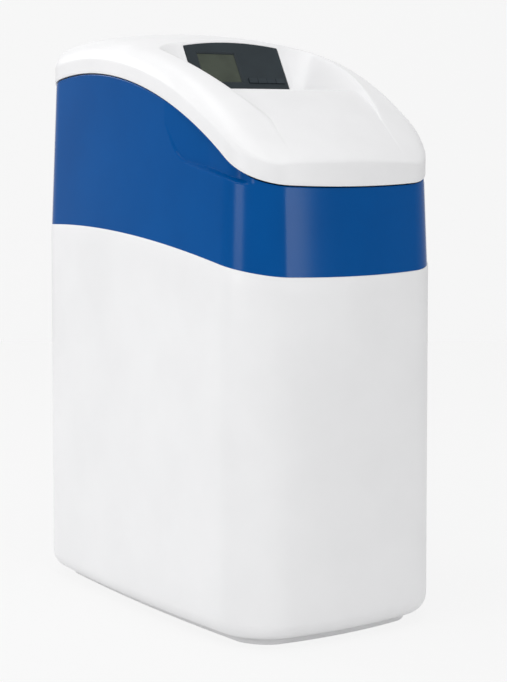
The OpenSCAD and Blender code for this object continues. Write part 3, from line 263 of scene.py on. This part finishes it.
def scoop_edge(y):
    """Lower edge of the finger scoops in side view: a straight line that rises backwards; it meets the
    lid line in front, where the scoop runs out."""
    return SCOOP_LOW + SCOOP_RISE * (y - SCOOP_FRONT)


def scoop_depth(x, y, z):
    """Depth of the finger scoops. They lie above the lower edge and in front of a rear line that leans
    forward going down. A ledge slopes in from there to the full depth, which grows forwards; its two edges
    are rounded only a little. The scoops run out at the front corner."""
    rear = (SCOOP_BACK - REAR_SHIFT - REAR_LEAN * (REAR_TOP - z) - y) * REAR_SCALE
    inside = soft_min(rear, z - scoop_edge(y), SCOOP_CORNER)
    deep = SCOOP * np.clip((SCOOP_BACK + GROW_SHIFT - y) / GROW_RUN, 0.0, 1.0)
    from_front = smooth((y + HALF_D - FRONT_CORNER * FADE_FRONT) / FADE_FRONT_RUN)
    fade = from_front * smooth((np.abs(x) - HALF_W * FADE_SIDE) / FADE_SIDE_RUN)
    ledge = soft_max(inside, np.zeros_like(inside), LEDGE_TOP_ROUND) * SCOOP / LEDGE
    return np.clip(soft_min(ledge, deep, LEDGE_FOOT_ROUND), 0.0, None) * fade


def housing_shell():
    """Housing: rows from the seam to the lid line with draft and scoops, a rounded top edge, the inner wall
    and the skirt inside the cabinet. The rows follow the scoops' edge at the sides and fit the two levels of
    the rear pipe opening, which is left open."""
    plan = plan_outline(joined(SIDE_FRONT, (FINE_FRONT, 21), (FINE_BACK, 75), (SIDE_BACK, 51)))
    x, y = plan[0].T
    seam, line = seam_z(y), line_z(y)
    edge = np.minimum(scoop_edge(y), line - LINE_CLEAR)
    turned = scoop_edge(ROWS_TURN)
    behind = np.clip((y - ROWS_TURN) / (ROWS_BACK - ROWS_TURN), 0, 1)
    low_behind = (turned - FINE_UNDER) * (1 - behind) + PIPES_LOW * behind
    high_behind = (turned + FINE_OVER) * (1 - behind) + PIPES_HIGH * behind
    low = np.where(behind > 0, low_behind, edge - FINE_UNDER)
    high = np.where(behind > 0, high_behind, edge + FINE_OVER)
    # Counts of rows below the fine ones, of the fine ones and of those above
    first, middle, last = 12, 30, 40
    lower = np.concatenate([[0.0, SEAM_NEAR], smooth(steps(first - 1))])
    levels = [seam + (low - seam) * s for s in lower]
    levels += [low + (high - low) * s for s in steps(middle)]
    levels += [high + (line - HOUSING_RIM_H - high) * s for s in steps(last)]

    def row(z, wall):
        return ring(plan, SEAM_STEP + DRAFT * (z - seam) + scoop_depth(x, y, z) + wall, z)

    outer = [row(z, 0.0) for z in levels]
    rim = [row(line - drop, inset) for inset, drop in HOUSING_RIM]
    rim.append(row(line, HOUSING_WALL - RIM_IN))
    inner = [row(z, HOUSING_WALL) for z in levels[::-1]]
    skirt_in = WALL + SKIRT_GAP
    skirt = [ring(plan, skirt_in + HOUSING_WALL, seam - SKIRT_H), ring(plan, skirt_in, seam - SKIRT_H),
             ring(plan, skirt_in, seam)]
    rings = outer + rim + inner + skirt
    rows, cols, n = len(rings), len(x), len(levels)
    keep = np.ones((rows, cols), bool)
    middle_x = 0.5 * (x + np.roll(x, -1))
    hole = np.flatnonzero((y > ROWS_BACK) & (np.abs(middle_x) < PIPES_HALF))
    hole_rows = np.arange(first, first + middle)
    top = n + len(rim)

    def outer_at(r, c):
        return r * cols + c % cols

    def inner_at(r, c):
        return (top + n - 1 - r) * cols + c % cols

    keep[np.ix_(hole_rows, hole)] = False
    keep[np.ix_(top + n - 2 - hole_rows, hole)] = False
    faces = list(grid_faces(rows, cols, keep))
    # Walls of the opening: the outer and inner rows joined at its four edges
    for r, flip in ((first, 1), (first + middle, -1)):
        quads = np.stack([outer_at(r, hole), outer_at(r, hole + 1), inner_at(r, hole + 1),
                          inner_at(r, hole)], 1)
        faces += list(quads[:, ::flip])
    for c, flip in ((hole[0], -1), (hole[-1] + 1, 1)):
        quads = np.stack([outer_at(hole_rows, c), outer_at(hole_rows + 1, c), inner_at(hole_rows + 1, c),
                          inner_at(hole_rows, c)], 1)
        faces += list(quads[:, ::flip])
    return np.concatenate(rings), faces


# Outline of the lid's lip, exact at the two ends of the display window
PANEL_BACK = PANEL_Y + PANEL_H * math.cos(math.radians(PANEL_TILT))
LID_PLAN = plan_outline(joined(
    SIDE_FRONT, (PANEL_Y, 75), (PANEL_BACK, 15), (LID_FINE_END, 9), (SIDE_BACK, 33)))
LID_FOOT_Y = LID_PLAN[0][:, 1]
LIP = ring(LID_PLAN, SEAM_STEP + DRAFT * (line_z(LID_FOOT_Y) - seam_z(LID_FOOT_Y)) - LIP_OVER, 0.0)[:, :2]
LIP_COUNT = len(LIP) // 2 + 1


def lip_half(y):
    """Half width of the lid at a depth, read from its own outline."""
    return np.interp(y, LIP[:LIP_COUNT, 1], LIP[:LIP_COUNT, 0])


def crown(x, y):
    """Lid's top before the recess: the lid line, the fold above the lip (highest at the front corners and in
    the front's middle), a shoulder 1 - exp(-side/run) and a flat crown 1 - u^2; both run out at the front
    and back."""
    half = np.maximum(lip_half(y), LEAST_HALF)
    side = np.clip(half - np.abs(x), 0.0, None)
    u = np.clip(np.abs(x) / half, 0.0, 1.0)
    bow = FRONT_BOW * (x / HALF_W) ** 2
    front = np.clip(y + HALF_D - TOP_FRONT - bow, 0.0, None)
    back = np.clip(HALF_D - TOP_BACK - bow - y, 0.0, None)
    corners = FOLD_TIP * np.exp(-((y - FOLD_TIP_Y) / FOLD_TIP_RUN) ** 2)
    fold = LIP_H + FOLD_RISE * smooth((FOLD_FROM - y) / FOLD_RUN) + corners
    bulge = LIP_FRONT * np.clip(1 - (x / BULGE_HALF) ** 2, 0, 1) * smooth(1 - front / BULGE_RUN)
    rise = SHOULDER * (1 - np.exp(-side / SHOULDER_RUN)) + CROWN * (1 - u * u)
    ends = (1 - np.exp(-front / SLOPE_RUN)) * (1 - np.exp(-back / BACK_RUN))
    return line_z(y) + LID_GAP + fold + bulge + rise * ends


def crest_half(y):
    """Half width between the crests: widest beside the display's foot, drawing in to the hood and to the
    front tips."""
    behind = np.clip((y - CREST_Y) / HOOD_RUN, 0, 1)
    ahead = np.clip((CREST_Y - y) / (CREST_Y - CREST_TIP_Y), 0, 1)
    return CREST - HOOD_IN * behind ** 2 - (CREST - CREST_TIP) * ahead ** 2


def sunk(x, y):
    """Sunken middle of the lid: the front slope, which lies ever lower than the crown behind DROP_Y, up to
    the level floor of the recess."""
    drop = SLOPE_DROP * soft_max(y - DROP_Y, np.zeros_like(y), DROP_ROUND)
    return soft_min(crown(x, y) - drop, FLOOR_Z, FLOOR_ROUND)


def wall_foot(y):
    """Half width at the foot of the recess walls."""
    crest = crest_half(y)
    return crest - np.clip(crown(crest, y) - sunk(crest, y), WALL_LEAST, None) / WALL_SLOPE


def lid_top(x, y, edge):
    """Lid's top: the crown, cut by the sunken middle between two straight walls that rise to the crests, and
    by the display's plane behind, which runs into the walls through a wide cove."""
    top = crown(x, y) - LIP_EDGE * np.clip(1 - edge / EDGE_RUN, 0, 1) ** 2
    out = np.abs(x)
    crest = crest_half(y)
    wall = crown(crest, y) - WALL_SLOPE * (crest - out)
    plane = FLOOR_Z + (y - PANEL_Y) * math.tan(math.radians(PANEL_TILT))
    recess = soft_max(sunk(x, y), wall, WALL_ROUND)
    recess = soft_max(recess, plane, PLANE_ROUND + COVE * smooth((out - PANEL_HALF) / COVE_RUN))
    return soft_min(top, recess, CREST_ROUND)


def lid_shell():
    """Lid: rings from the lip's foot up the lip and over its fold to a spine along the middle, the same rings
    again as its underside, and the display's window left open between them. One ring lies on the crests, one
    on the walls' feet and one on the window's sides."""
    y0 = LIP[:, 1]
    cols = len(LIP)
    low = line_z(LID_FOOT_Y) + LID_GAP
    lip = crown(LIP[:, 0], y0) - LIP_EDGE - low
    spine = np.stack([np.zeros(cols), np.clip(y0, SPINE_FRONT, SPINE_BACK)], 1)
    length = np.linalg.norm(LIP - spine, axis=1)
    inward = (spine - LIP) / length[:, None]

    def lip_ring(inset, z):
        return np.concatenate([LIP + inward * inset, z[:, None]], 1)

    rows = [lip_ring(LID_WALL, low), lip_ring(LIP_ROUND, low), lip_ring(LIP_ROUND_MID, low + LIP_ROUND_MID),
            lip_ring(0.0, low + LIP_ROUND)]
    rows += [lip_ring(0.0, low + LIP_ROUND + (lip - LIP_ROUND) * s) for s in steps(6)]
    near = [np.full(cols, d) for d in NEAR_FOLD]
    start = length - near[-1]
    crest = np.minimum(crest_half(y0), CREST_SHARE * start)
    foot = np.minimum(np.maximum(wall_foot(y0), PANEL_HALF / WINDOW_SHARE), FOOT_SHARE * crest)
    window = np.minimum(PANEL_HALF, WINDOW_SHARE * foot)
    # Counts of rings from the fold to the crest, to the wall's foot, to the window's side and to the spine
    counts = (11, 18, 8, 22)
    stops = (start, crest, foot, window, np.zeros(cols))
    reach = list(near)
    for k, count in enumerate(counts):
        reach += [length - (stops[k] * (1 - t) + stops[k + 1] * t) for t in steps(count)]
    tops = []
    arch = PANEL_ARCH * math.cos(math.radians(PANEL_TILT))
    for d in reach:
        x, y = (LIP + inward * d[:, None]).T
        lift = np.interp(y, [PANEL_Y, PANEL_BACK, ARCH_END], [0.0, 1.0, 0.0])
        y = y + arch * np.clip(1 - (x / PANEL_HALF) ** 2, 0, 1) * lift
        tops.append(np.stack([x, y, lid_top(x, y, d)], 1))
    under_side = [p - [0.0, 0.0, LID_WALL * UNDER_SHARE] for p in tops[:UNDER_AFTER:-1]]
    inside = [lip_ring(LID_WALL, low + (lip - LIP_INSIDE_LESS) * s) for s in LIP_INSIDE]
    top_start = len(rows)
    rows = rows + tops + under_side + inside
    count = len(rows)
    top_last = top_start + len(tops) - 1
    ring_k = top_start + len(near) + sum(counts[:3]) - 1
    middle_y = 0.5 * (y0 + np.roll(y0, -1))
    hole = (np.abs(LIP[:, 0]) > LONG_SIDE_X) & (middle_y > PANEL_Y) & (middle_y < PANEL_BACK)

    def under(r):
        return 2 * top_last + 1 - r

    keep = np.ones((count, cols), bool)
    keep[ring_k:top_last, hole] = False
    keep[top_last + 1:under(ring_k), hole] = False
    # No quads join the top and the underside along the spine
    keep[top_last, :] = False
    faces = list(grid_faces(count, cols, keep))
    # Walls of the window: its two sides, then its lower and upper edges on each half of the lid
    c = np.flatnonzero(hole)
    n = (c + 1) % cols
    above, below = ring_k * cols, under(ring_k) * cols
    faces += list(np.stack([above + c, below + c, below + n, above + n], 1))
    r = np.arange(ring_k, top_last)
    for c in np.flatnonzero(hole != np.roll(hole, 1)):
        quads = [r * cols + c, (r + 1) * cols + c, under(r + 1) * cols + c, under(r) * cols + c]
        faces += list(np.stack(quads, 1))
    return np.concatenate(rows), faces


# Points of the lid closer than this, in metres, are one point
MERGE_DISTANCE = 0.00002


def merge(obj):
    """Joins points that lie on each other, as along the lid's spine, and turns all faces outward."""
    bm = bmesh.new()
    bm.from_mesh(obj.data)
    bmesh.ops.remove_doubles(bm, verts=bm.verts, dist=MERGE_DISTANCE)
    bmesh.ops.recalc_face_normals(bm, faces=bm.faces)
    bm.to_mesh(obj.data)
    bm.free()


def linear(code):
    """Linear colour of an sRGB hex value, by the standard curve."""
    c = np.array([int(code[i:i + 2], 16) / 255.0 for i in (1, 3, 5)])
    c = np.where(c <= 0.04045, c / 12.92, ((c + 0.055) / 1.055) ** 2.4)
    return (*c.tolist(), 1.0)


def empty_tree(owner):
    """Node tree of a material or world, without nodes."""
    owner.use_nodes = True
    owner.node_tree.nodes.clear()
    return owner.node_tree


def add(tree, kind, links=None, **values):
    """Adds a node: values are settings by attribute name or inputs by socket name with _ for a space,
    links gives the output that each socket takes."""
    node = tree.nodes.new(kind)
    for key, value in values.items():
        if hasattr(node, key):
            setattr(node, key, value)
        else:
            node.inputs[key.replace("_", " ")].default_value = value
    for socket, output in (links or {}).items():
        tree.links.new(output, node.inputs[socket])
    return node


# For all moulded finishes: noise values of the two shades, swing of the roughness, height of the grain in
# metres
SHADE_FROM, SHADE_TO, ROUGH_SWING, GRAIN_H = 0.3, 0.7, 0.03, 0.0004


def moulded(name, low, high, roughness, grain_mm, depth, spread=40.0, specular=0.5):
    """Moulded plastic: two close shades in slow patches, a roughness that varies with them, and the fine
    grain of the tool as a bump. grain_mm is the spacing of that grain and spread that of the patches, in
    millimetres; depth is the strength of the bump."""
    mat = bpy.data.materials.new(name)
    tree = empty_tree(mat)
    at = add(tree, "ShaderNodeTexCoord").outputs["Object"]
    patches = add(tree, "ShaderNodeTexNoise", {"Vector": at}, Scale=MM / spread, Detail=3.0)
    shade = add(tree, "ShaderNodeValToRGB", {"Fac": patches.outputs["Fac"]})
    shade.color_ramp.elements[0].position = SHADE_FROM
    shade.color_ramp.elements[0].color = linear(low)
    shade.color_ramp.elements[1].position = SHADE_TO
    shade.color_ramp.elements[1].color = linear(high)
    rough = add(tree, "ShaderNodeMapRange", {"Value": patches.outputs["Fac"]})
    rough.inputs["To Min"].default_value = roughness - ROUGH_SWING
    rough.inputs["To Max"].default_value = roughness + ROUGH_SWING
    grain = add(tree, "ShaderNodeTexNoise", {"Vector": at}, Scale=MM / grain_mm, Detail=2.0)
    bump = add(tree, "ShaderNodeBump", {"Height": grain.outputs["Fac"]}, Strength=depth, Distance=GRAIN_H)
    shader = add(tree, "ShaderNodeBsdfPrincipled", {
        "Base Color": shade.outputs["Color"], "Roughness": rough.outputs["Result"],
        "Normal": bump.outputs["Normal"]})
    shader.inputs["Specular IOR Level"].default_value = specular
    add(tree, "ShaderNodeOutputMaterial", {"Surface": shader.outputs["BSDF"]})
    return mat


# White polyethylene of the cabinet, blow moulded: soft sheen, faint slow patches
cabinet_white = moulded(
    "white_polyethylene_blow_moulded", "#eeeeef", "#f2f2f3", 0.42, 1.2, 0.05, 90.0, specular=0.4)
# White ABS of the lid, injection moulded: the same white, a little smoother
lid_white = moulded("white_ABS_moulded", "#eeeeef", "#f2f2f3", 0.36, 0.9, 0.03, 70.0, specular=0.3)
# Blue ABS of the housing, moulded in a polished tool: deep colour, clear but weak reflections, no grain
housing_blue = moulded("blue_ABS_polished", "#004c90", "#005096", 0.18, 1.5, 0.0, 80.0, specular=0.1)
# Slate ABS of the display panel, finely matt, and of its keys, a shade lighter
panel_slate = moulded("slate_ABS_matt", "#262e33", "#2a3338", 0.45, 0.6, 0.08, 30.0, specular=0.3)
key_slate = moulded("slate_ABS_keys", "#2a3238", "#2f383d", 0.4, 0.6, 0.06, 12.0, specular=0.3)
# Display window: dark grey green with a smooth, clear gloss
display_glass = moulded("display_window_grey_green", "#3b4238", "#454c41", 0.16, 2.0, 0.01, 25.0)
# Plastics of the works: matt black, grey, milky white, red and blue, each with a fine grain
black_nylon = moulded("black_nylon_glass_filled", "#17191b", "#202326", 0.5, 0.8, 0.15, 25.0)
grey_acetal = moulded("grey_acetal_moulded", "#7f8589", "#8c9296", 0.45, 0.8, 0.06, 25.0)
natural_polypropylene = moulded("natural_polypropylene_moulded", "#dcdcd6", "#e6e6e1", 0.5, 1.0, 0.06, 30.0)
red_acetal = moulded("red_acetal_moulded", "#a81f26", "#b8262c", 0.35, 0.8, 0.05, 20.0)
turbine_blue = moulded("blue_acetal_moulded", "#1d4f96", "#2458a1", 0.4, 0.8, 0.05, 10.0)
# Resin vessel with a coarse, uneven blue grey skin, and its amber beads, strongly speckled
wound_shell = moulded("glass_fibre_wound_blue", "#33506b", "#486684", 0.45, 3.0, 0.35, 14.0)
resin_beads = moulded("amber_resin_beads", "#8f5a1e", "#c5822f", 0.4, 1.0, 0.8, 3.0)
# Dull black rubber of the seals, and the green circuit board
seal_rubber = moulded("nitrile_rubber_moulded", "#171615", "#1f1e1c", 0.7, 0.7, 0.2, 15.0)
board_laminate = moulded("green_coated_laminate", "#1a5a32", "#236b3d", 0.35, 1.5, 0.1, 6.0)


def plated(name, code, roughness):
    """Plated steel: a metal of one colour with a fine grain as a bump."""
    mat = moulded(name, code, code, roughness, 0.5, 0.12, 20.0)
    mat.node_tree.nodes["Principled BSDF"].inputs["Metallic"].default_value = 1.0
    return mat


# Bright zinc of the hinge pin, the screws and the motor
zinc_steel = plated("zinc_plated_steel", "#b9bcbf", 0.32)

# Finish of each CAD node that is shown as it is
FINISH = {
    "lid_hinge_leaf": lid_white, "brine_well_cap": cabinet_white, "hinge_leaf": housing_blue,
    "fascia_panel": panel_slate, "control_housing": panel_slate, "display_lens": display_glass,
    "key_1": key_slate, "key_2": key_slate, "key_3": key_slate, "key_4": key_slate,
    "display_module": black_nylon, "power_socket": black_nylon, "vessel_boot": black_nylon,
    "valve_body": black_nylon, "drive_cap": black_nylon, "bypass_body": black_nylon,
    "drain_elbow": black_nylon, "brine_elbow": black_nylon, "overflow_fitting": black_nylon,
    "overflow_nut": black_nylon, "circuit_board": board_laminate, "resin_vessel": wound_shell,
    "resin_bed": resin_beads, "riser_tube": natural_polypropylene,
    "bottom_strainer": natural_polypropylene, "top_strainer": natural_polypropylene,
    "valve_piston": natural_polypropylene, "drive_gear": natural_polypropylene,
    "motor_pinion": natural_polypropylene, "brine_line": natural_polypropylene,
    "brine_well": natural_polypropylene, "salt_grid": natural_polypropylene,
    "float_assembly": natural_polypropylene, "valve_spacers": grey_acetal, "drive_bracket": grey_acetal,
    "turbine_cage": grey_acetal, "union_nuts": grey_acetal, "safety_brine_valve": grey_acetal,
    "meter_turbine": turbine_blue, "valve_seals": seal_rubber, "overflow_seal": seal_rubber,
    "inlet_handle": red_acetal, "outlet_handle": red_acetal, "hinge_pin": zinc_steel,
    "hinge_screws": zinc_steel, "lid_screws": zinc_steel, "drive_motor": zinc_steel,
}


def finish(obj, mat):
    """Gives a piece one material in place of what it had."""
    obj.data.materials.clear()
    obj.data.materials.append(mat)


for node, mat in FINISH.items():
    finish(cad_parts[node], mat)

cabinet = moulding("cabinet_moulding", *cabinet_shell(), "base", ["cabinet"], "white_moulding")
finish(cabinet, cabinet_white)
housing = moulding("housing_moulding", *housing_shell(), "base", ["upper_housing"], "blue_moulding")
finish(housing, housing_blue)
lid = moulding("lid_moulding", *lid_shell(), "lid_body", ["lid"], "white_moulding")
merge(lid)
finish(lid, lid_white)

# Floor and backdrop of the studio, in metres: a pale ground that keeps a faint shadow, and a pale upright
# sheet behind the object as the camera sees it, so that the gloss reflects a darker room and its lamps
VIEW_TURN, FLOOR_HALF, SHEET_FAR, SHEET_HALF, SHEET_H = math.radians(34.30), 2.6, 2.6, 1.3, 2.4
floor_mesh = bpy.data.meshes.new("floor")
away = np.array([math.sin(VIEW_TURN), math.cos(VIEW_TURN), 0.0]) * SHEET_FAR
across = np.array([math.cos(VIEW_TURN), -math.sin(VIEW_TURN), 0.0]) * SHEET_HALF
rise = np.array([0.0, 0.0, SHEET_H])
sheet = [away - across, away + across, away + across + rise, away - across + rise]
ground_plan = [(-FLOOR_HALF, -FLOOR_HALF, 0), (FLOOR_HALF, -FLOOR_HALF, 0), (FLOOR_HALF, FLOOR_HALF, 0),
               (-FLOOR_HALF, FLOOR_HALF, 0)]
floor_mesh.from_pydata(ground_plan + [p.tolist() for p in sheet], [], [(0, 1, 2, 3), (4, 5, 6, 7)])
floor = new_object("floor", floor_mesh)

# Pale ground: seen directly, mirrored or through a piece it mostly glows, and the rest of it takes the
# shadow; for the light that falls on the object it is a plain matt surface
GLOW, GLOW_SHARE = 1.03, 0.9
ground = bpy.data.materials.new("pale_ground")
tree = empty_tree(ground)
diffuse = add(tree, "ShaderNodeBsdfDiffuse", Color=linear("#e6e6e6"))
glow = add(tree, "ShaderNodeEmission", Color=linear("#f7f7f7"), Strength=GLOW)
path = add(tree, "ShaderNodeLightPath")
seen = path.outputs["Is Camera Ray"]
for kind in ("Is Glossy Ray", "Is Transmission Ray"):
    either = add(tree, "ShaderNodeMath", {0: seen, 1: path.outputs[kind]}, operation="MAXIMUM")
    seen = either.outputs[0]
share = add(tree, "ShaderNodeMath", {0: seen}, operation="MULTIPLY")
share.inputs[1].default_value = GLOW_SHARE
both = add(tree, "ShaderNodeMixShader", {0: share.outputs[0], 1: diffuse.outputs[0], 2: glow.outputs[0]})
add(tree, "ShaderNodeOutputMaterial", {"Surface": both.outputs[0]})
finish(floor, ground)

# Strengths of the studio's lamps in watts, and of its even surrounding light
LEFT_POWER, TOP_POWER, FRONT_POWER, BACK_POWER, AROUND = 17.5, 30.0, 18.0, 19.0, 0.46

world = bpy.data.worlds.new("studio")
bpy.context.scene.world = world
tree = empty_tree(world)
ambient = add(tree, "ShaderNodeBackground", Color=(1.0, 1.0, 1.0, 1.0), Strength=AROUND)
add(tree, "ShaderNodeOutputWorld", {"Surface": ambient.outputs[0]})


def stand(right, up, back, place):
    """Matrix of a lamp or camera at a place, from its directions to the right, upwards and backwards."""
    return Matrix((
        (right[0], up[0], back[0], place[0]), (right[1], up[1], back[1], place[1]),
        (right[2], up[2], back[2], place[2]), (0, 0, 0, 1)))


def softbox(name, place, aim, width, height, power):
    """Rectangular studio light at a place, turned towards a point that is not straight below it."""
    light = bpy.data.lights.new(name, "AREA")
    light.shape = "RECTANGLE"
    light.size, light.size_y = width, height
    light.energy = power
    back = np.array(place, float) - np.array(aim, float)
    back /= np.linalg.norm(back)
    side = np.cross([0.0, 0.0, 1.0], back)
    side /= np.linalg.norm(side)
    new_object(name, light).matrix_world = stand(side, np.cross(back, side), back, place)


softbox("left_box", (-2.7, -0.35, 0.9), (0, 0, 0.35), 0.8, 1.1, LEFT_POWER)
softbox("top_box", (-0.5, -0.3, 2.8), (0, 0, 0.5), 2.2, 2.2, TOP_POWER)
softbox("front_box", (0.66, -3.1, 0.65), (0, 0, 0.35), 0.75, 1.0, FRONT_POWER)
softbox("back_box", (-1.45, 2.5, 1.65), (0, 0, 0.45), 1.0, 0.7, BACK_POWER)

# Camera worked out from the photograph: turned 34.3 degrees round the object, looking 6.1 degrees down.
# Its place is given in metres to the right, upwards and backwards, its focal length and middle row in the
# photograph's pixels
VIEW_TILT = math.radians(6.13)
CAMERA_RIGHT, CAMERA_UP, CAMERA_BACK = 0.02917, 0.32987, 2.11827
FOCAL_PX, PHOTO_H, MIDDLE_ROW, SENSOR_H, FAR_END = 1756.39, 682.0, 322.75, 36.0, 50.0
level = math.cos(VIEW_TILT)
back = np.array([-math.sin(VIEW_TURN) * level, -math.cos(VIEW_TURN) * level, math.sin(VIEW_TILT)])
right = np.array([math.cos(VIEW_TURN), -math.sin(VIEW_TURN), 0.0])
place = right * CAMERA_RIGHT + np.array([0, 0, CAMERA_UP]) + back * CAMERA_BACK
lens = bpy.data.cameras.new("camera")
lens.sensor_fit = "VERTICAL"
lens.sensor_height = SENSOR_H
lens.lens = FOCAL_PX / PHOTO_H * SENSOR_H
lens.shift_y = -(PHOTO_H / 2 - MIDDLE_ROW) / PHOTO_H
lens.clip_end = FAR_END
camera = new_object("camera", lens)
camera.matrix_world = stand(right, np.cross(back, right), back, place)
bpy.context.scene.camera = camera
bpy.context.scene.view_settings.view_transform = "Standard"
